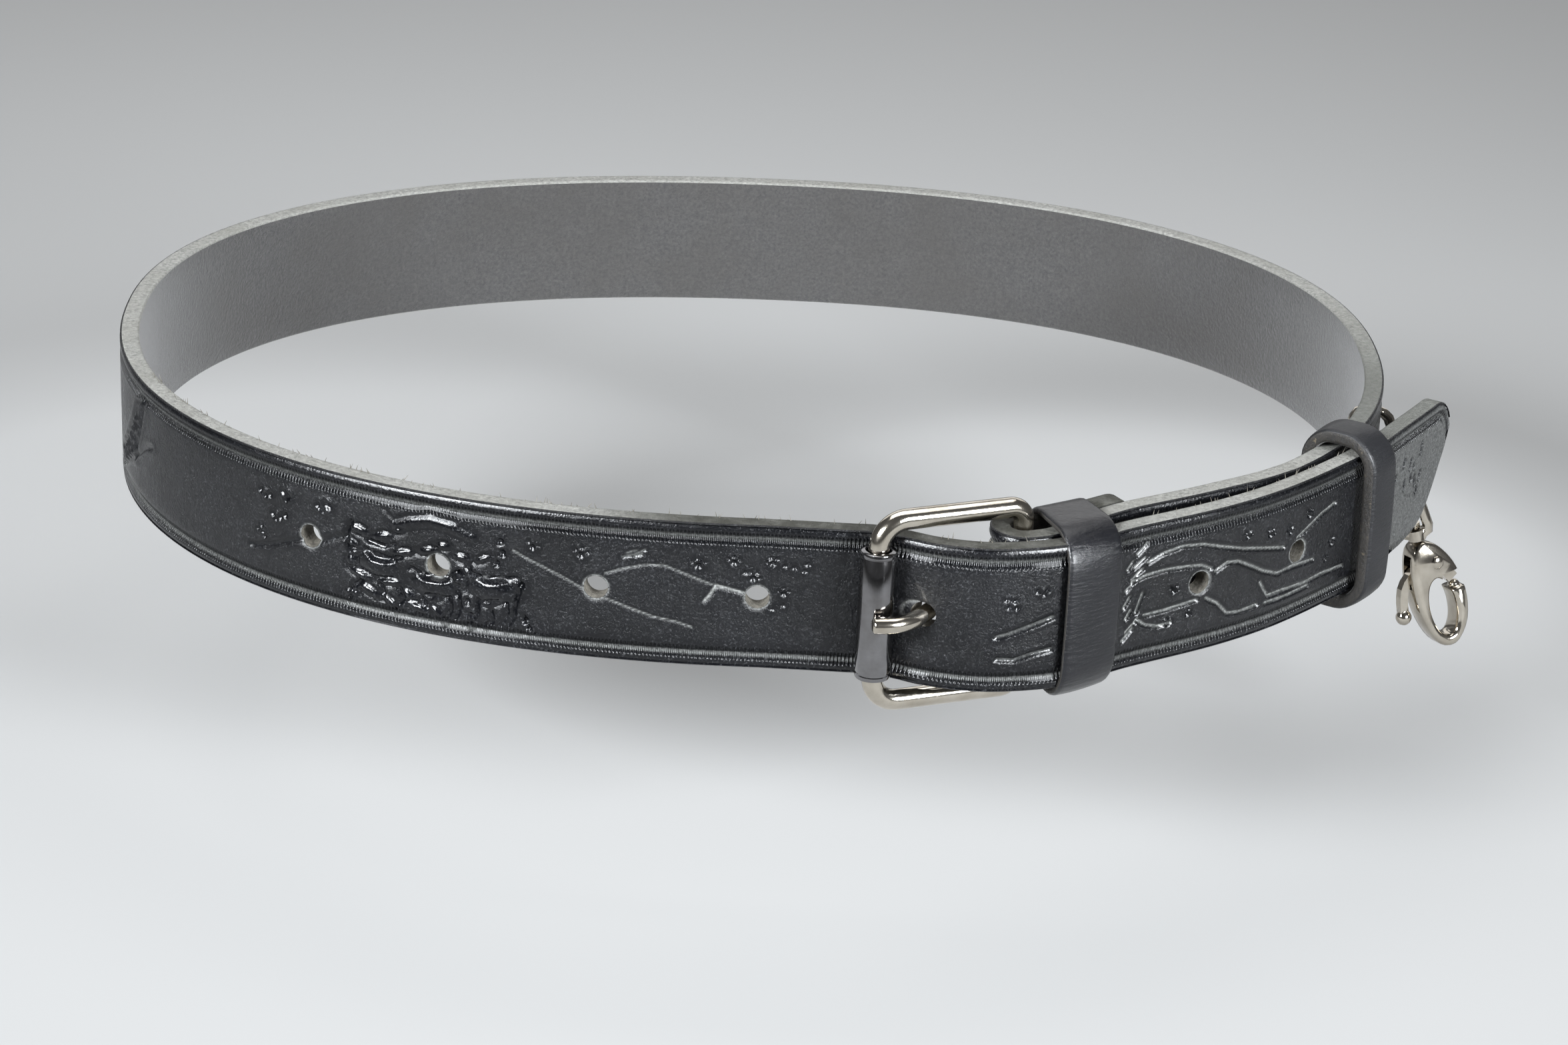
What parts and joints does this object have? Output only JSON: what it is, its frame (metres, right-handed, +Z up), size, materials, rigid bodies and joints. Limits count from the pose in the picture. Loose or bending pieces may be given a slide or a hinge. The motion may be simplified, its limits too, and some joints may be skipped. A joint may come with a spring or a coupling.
{
  "type": "tooled leather belt with roller buckle and swivel snap hook",
  "caption": "Narrow tooled leather belt fastened in a loop by a roller buckle, with leather keepers and a small swivel snap hook hung from the strap.",
  "frame": {"origin": "centre of the waist loop at the strap's mid-height", "axes": "+Z up as worn, -Y towards the buckle at the front, +X towards the tail's free end"},
  "size_m": [0.2496, 0.1929, 0.056],
  "materials": {
    "strap_leather": "near-black tooled vegetable-tanned leather, satin, glossy on the pressed lines",
    "keeper_leather": "black leather with a polished face and raw brown edges",
    "nickel": "bright nickel plate with light wear"
  },
  "bodies": {
    "belt": {"strap": "strap_leather", "keeper_fixed": "keeper_leather", "keeper_free": "keeper_leather", "buckle_frame": "nickel", "roller": "nickel", "tongue": "nickel", "swivel_eye": "nickel"},
    "hook": {"hook_body": "nickel"},
    "gate": {"gate_lever": "nickel"}
  },
  "joints": [
    {"name": "hook_swivel", "type": "hinge", "parent": "belt", "child": "hook", "pos_m": [0.12117, -0.01583, -0.0174], "axis": [-0.2898, 0.0387, 0.9563], "continuous": true},
    {"name": "gate_hinge", "type": "hinge", "parent": "hook", "child": "gate", "pos_m": [0.12417, -0.01529, -0.02164], "axis": [-0.3817, 0.9116, -0.1526], "range_deg": [0, 28], "stiffness_Nm_per_rad": 0.003, "springref_deg": -11.46}
  ]
}
